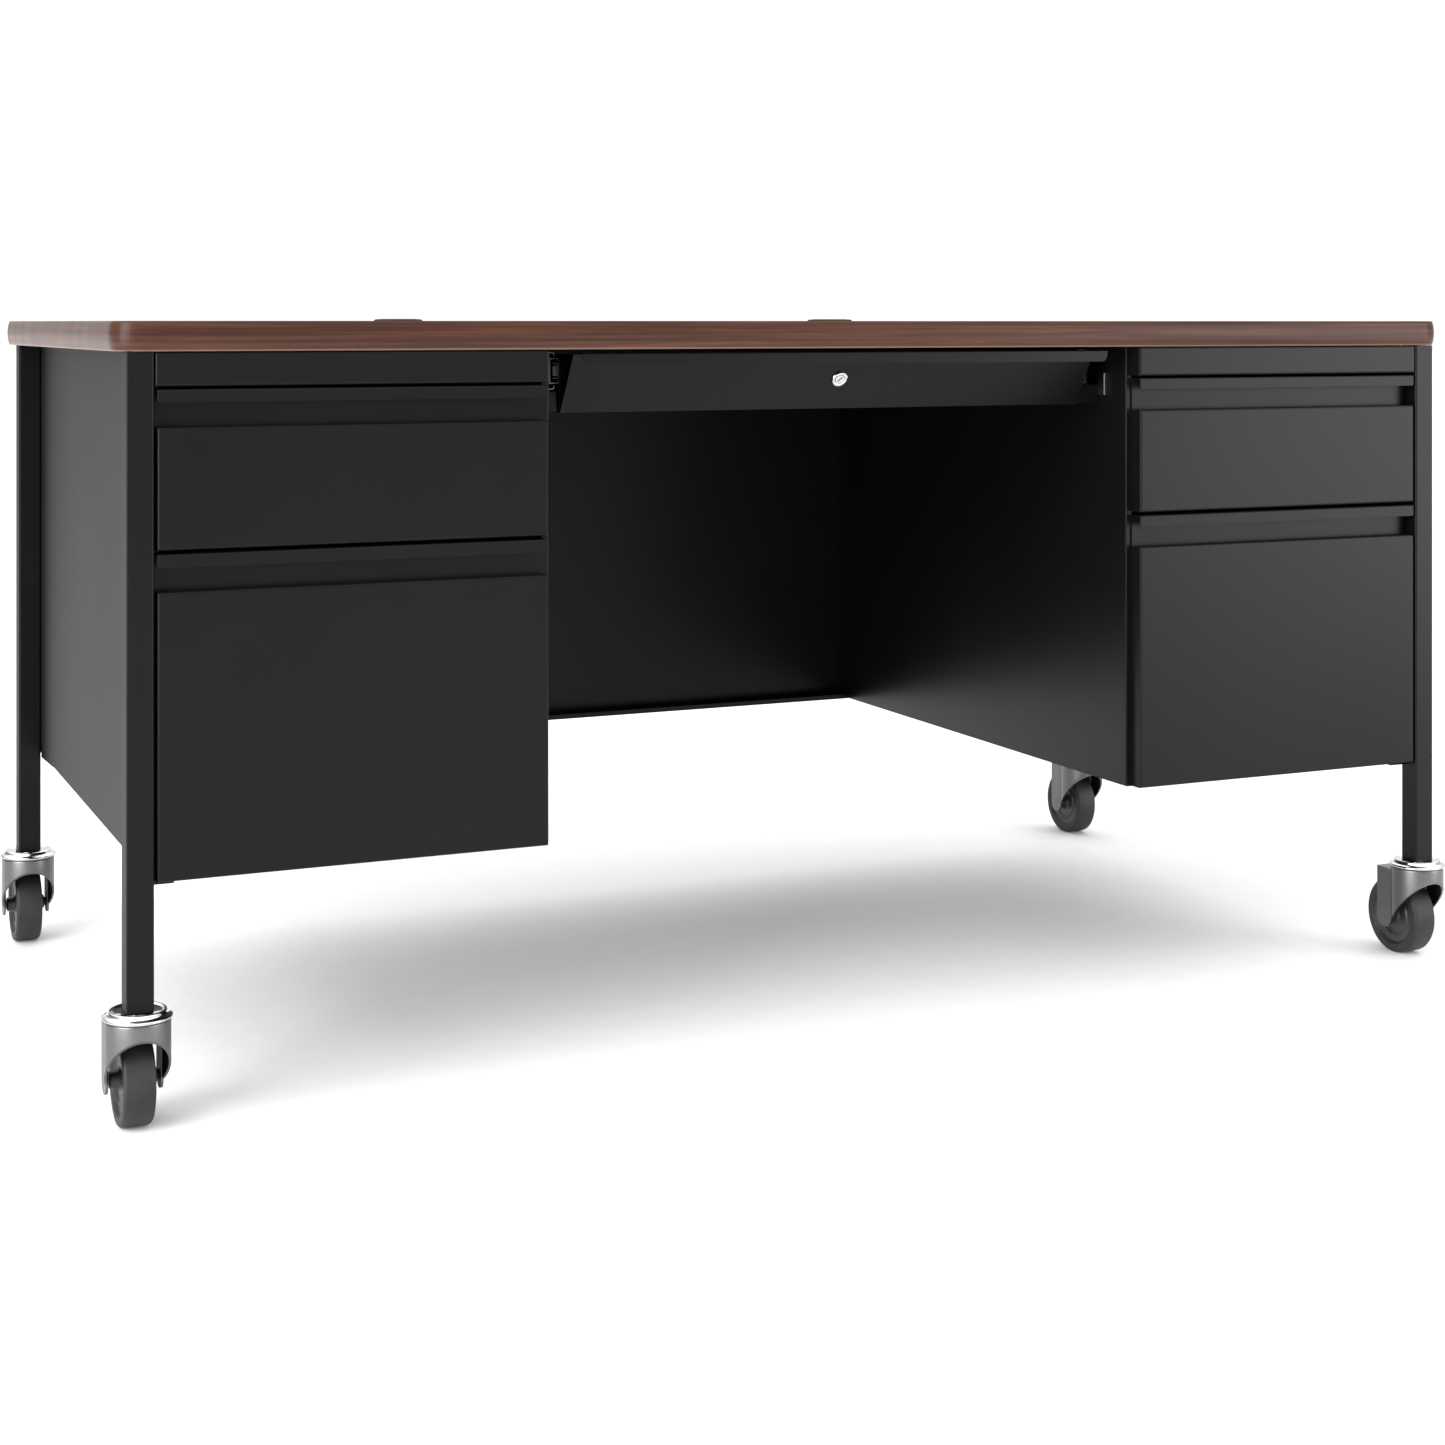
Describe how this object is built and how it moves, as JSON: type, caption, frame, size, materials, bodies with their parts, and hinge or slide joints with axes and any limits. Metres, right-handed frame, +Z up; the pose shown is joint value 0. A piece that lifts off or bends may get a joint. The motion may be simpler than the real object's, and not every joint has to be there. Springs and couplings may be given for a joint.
{
  "type": "teacher desk",
  "caption": "Rectangular desk on casters with a wood-grain top, a box and file drawer pedestal on each side and a centre drawer with lock over the kneehole.",
  "frame": {"origin": "on the floor, under the middle of the whole desk's box, casters included", "axes": "+X to the seated user's right along the long side, +Y from the user's side to the back panel, +Z up"},
  "size_m": [1.538, 0.8266, 0.7459],
  "materials": {
    "black_powder_coat": "satin black powder coat",
    "walnut_laminate": "satin dark brown wood-grain laminate with a matching edge",
    "zinc_plate": "bright zinc plate",
    "chrome": "polished",
    "wheel_rubber": "dark grey, matt",
    "black_plastic": "moulded, lightly grained"
  },
  "bodies": {
    "frame": {"back_panel": "black_powder_coat", "caster_collar_back_left": "chrome", "caster_collar_back_right": "chrome", "caster_collar_front_left": "chrome", "caster_collar_front_right": "chrome", "centre_bracket_left": "black_powder_coat", "centre_bracket_right": "black_powder_coat", "centre_clip_left": "zinc_plate", "centre_clip_right": "zinc_plate", "centre_slide_cabinet_left": "zinc_plate", "centre_slide_cabinet_right": "zinc_plate", "desktop": "walnut_laminate", "front_rail_left": "black_powder_coat", "front_rail_right": "black_powder_coat", "grommet_liner_left": "black_plastic", "grommet_liner_right": "black_plastic", "left_box_slide_inner": "zinc_plate", "left_box_slide_outer": "zinc_plate", "left_file_slide_inner": "zinc_plate", "left_file_slide_outer": "zinc_plate", "leg_back_left": "black_powder_coat", "leg_back_right": "black_powder_coat", "leg_front_left": "black_powder_coat", "leg_front_right": "black_powder_coat", "right_box_slide_inner": "zinc_plate", "right_box_slide_outer": "zinc_plate", "right_file_slide_inner": "zinc_plate", "right_file_slide_outer": "zinc_plate", "side_panel_inner_left": "black_powder_coat", "side_panel_inner_right": "black_powder_coat", "side_panel_outer_left": "black_powder_coat", "side_panel_outer_right": "black_powder_coat"},
    "grommet_cap_left": {"grommet_cap_left": "black_plastic"},
    "left_box_drawer": {"left_box_front": "black_powder_coat", "left_box_tub": "black_powder_coat"},
    "left_file_drawer": {"left_file_front": "black_powder_coat", "left_file_tub": "black_powder_coat"},
    "grommet_cap_right": {"grommet_cap_right": "black_plastic"},
    "right_box_drawer": {"right_box_front": "black_powder_coat", "right_box_tub": "black_powder_coat"},
    "right_file_drawer": {"right_file_front": "black_powder_coat", "right_file_tub": "black_powder_coat"},
    "centre_slide_middle": {"centre_slide_middle_left": "zinc_plate", "centre_slide_middle_right": "zinc_plate"},
    "centre_drawer": {"centre_drawer_front": "black_powder_coat", "centre_drawer_tray": "black_powder_coat", "lock_housing": "chrome", "centre_slide_drawer_left": "zinc_plate", "centre_slide_drawer_right": "zinc_plate"},
    "lock_plug": {"lock_plug": "chrome", "lock_cam": "zinc_plate"},
    "caster_swivel_front_left": {"caster_fork_front_left": "zinc_plate"},
    "caster_wheel_front_left": {"caster_wheel_front_left": "wheel_rubber"},
    "caster_swivel_front_right": {"caster_fork_front_right": "zinc_plate"},
    "caster_wheel_front_right": {"caster_wheel_front_right": "wheel_rubber"},
    "caster_swivel_back_left": {"caster_fork_back_left": "zinc_plate"},
    "caster_wheel_back_left": {"caster_wheel_back_left": "wheel_rubber"},
    "caster_swivel_back_right": {"caster_fork_back_right": "zinc_plate"},
    "caster_wheel_back_right": {"caster_wheel_back_right": "wheel_rubber"}
  },
  "joints": [
    {"name": "left_box_drawer_slide", "type": "slide", "parent": "frame", "child": "left_box_drawer", "axis": [0, -1, 0], "range_m": [0, 0.45]},
    {"name": "left_file_drawer_slide", "type": "slide", "parent": "frame", "child": "left_file_drawer", "axis": [0, -1, 0], "range_m": [0, 0.45]},
    {"name": "right_box_drawer_slide", "type": "slide", "parent": "frame", "child": "right_box_drawer", "axis": [0, -1, 0], "range_m": [0, 0.45]},
    {"name": "right_file_drawer_slide", "type": "slide", "parent": "frame", "child": "right_file_drawer", "axis": [0, -1, 0], "range_m": [0, 0.45]},
    {"name": "centre_drawer_slide", "type": "slide", "parent": "frame", "child": "centre_drawer", "axis": [0, -1, 0], "range_m": [0, 0.3]},
    {"name": "centre_middle_slide", "type": "slide", "parent": "frame", "child": "centre_slide_middle", "axis": [0, -1, 0], "range_m": [0, 0.15]},
    {"name": "lock_turn", "type": "hinge", "parent": "centre_drawer", "child": "lock_plug", "pos_m": [0, -0.34229, 0.6823], "axis": [0, -0.8308, -0.5566], "range_deg": [0, 90]},
    {"name": "grommet_cap_turn_left", "type": "hinge", "parent": "frame", "child": "grommet_cap_left", "pos_m": [-0.3, 0.28235, 0.7445], "axis": [0, 0, 1], "continuous": true},
    {"name": "grommet_cap_turn_right", "type": "hinge", "parent": "frame", "child": "grommet_cap_right", "pos_m": [0.3, 0.28235, 0.7445], "axis": [0, 0, 1], "continuous": true},
    {"name": "caster_swivel_turn_front_left", "type": "hinge", "parent": "frame", "child": "caster_swivel_front_left", "pos_m": [-0.737, -0.38135, 0.103], "axis": [0, 0, 1], "continuous": true},
    {"name": "caster_wheel_spin_front_left", "type": "hinge", "parent": "caster_swivel_front_left", "child": "caster_wheel_front_left", "pos_m": [-0.737, -0.35335, 0.0434], "axis": [1, 0, 0], "continuous": true},
    {"name": "caster_swivel_turn_front_right", "type": "hinge", "parent": "frame", "child": "caster_swivel_front_right", "pos_m": [0.737, -0.38135, 0.103], "axis": [0, 0, 1], "continuous": true},
    {"name": "caster_wheel_spin_front_right", "type": "hinge", "parent": "caster_swivel_front_right", "child": "caster_wheel_front_right", "pos_m": [0.737, -0.35335, 0.0434], "axis": [1, 0, 0], "continuous": true},
    {"name": "caster_swivel_turn_back_left", "type": "hinge", "parent": "frame", "child": "caster_swivel_back_left", "pos_m": [-0.737, 0.34195, 0.103], "axis": [0, 0, 1], "continuous": true},
    {"name": "caster_wheel_spin_back_left", "type": "hinge", "parent": "caster_swivel_back_left", "child": "caster_wheel_back_left", "pos_m": [-0.737, 0.36995, 0.0434], "axis": [1, 0, 0], "continuous": true},
    {"name": "caster_swivel_turn_back_right", "type": "hinge", "parent": "frame", "child": "caster_swivel_back_right", "pos_m": [0.737, 0.34195, 0.103], "axis": [0, 0, 1], "continuous": true},
    {"name": "caster_wheel_spin_back_right", "type": "hinge", "parent": "caster_swivel_back_right", "child": "caster_wheel_back_right", "pos_m": [0.737, 0.36995, 0.0434], "axis": [1, 0, 0], "continuous": true}
  ],
  "couplings": [
    {"joint": "centre_middle_slide", "follows": "centre_drawer_slide", "ratio": 0.5}
  ]
}
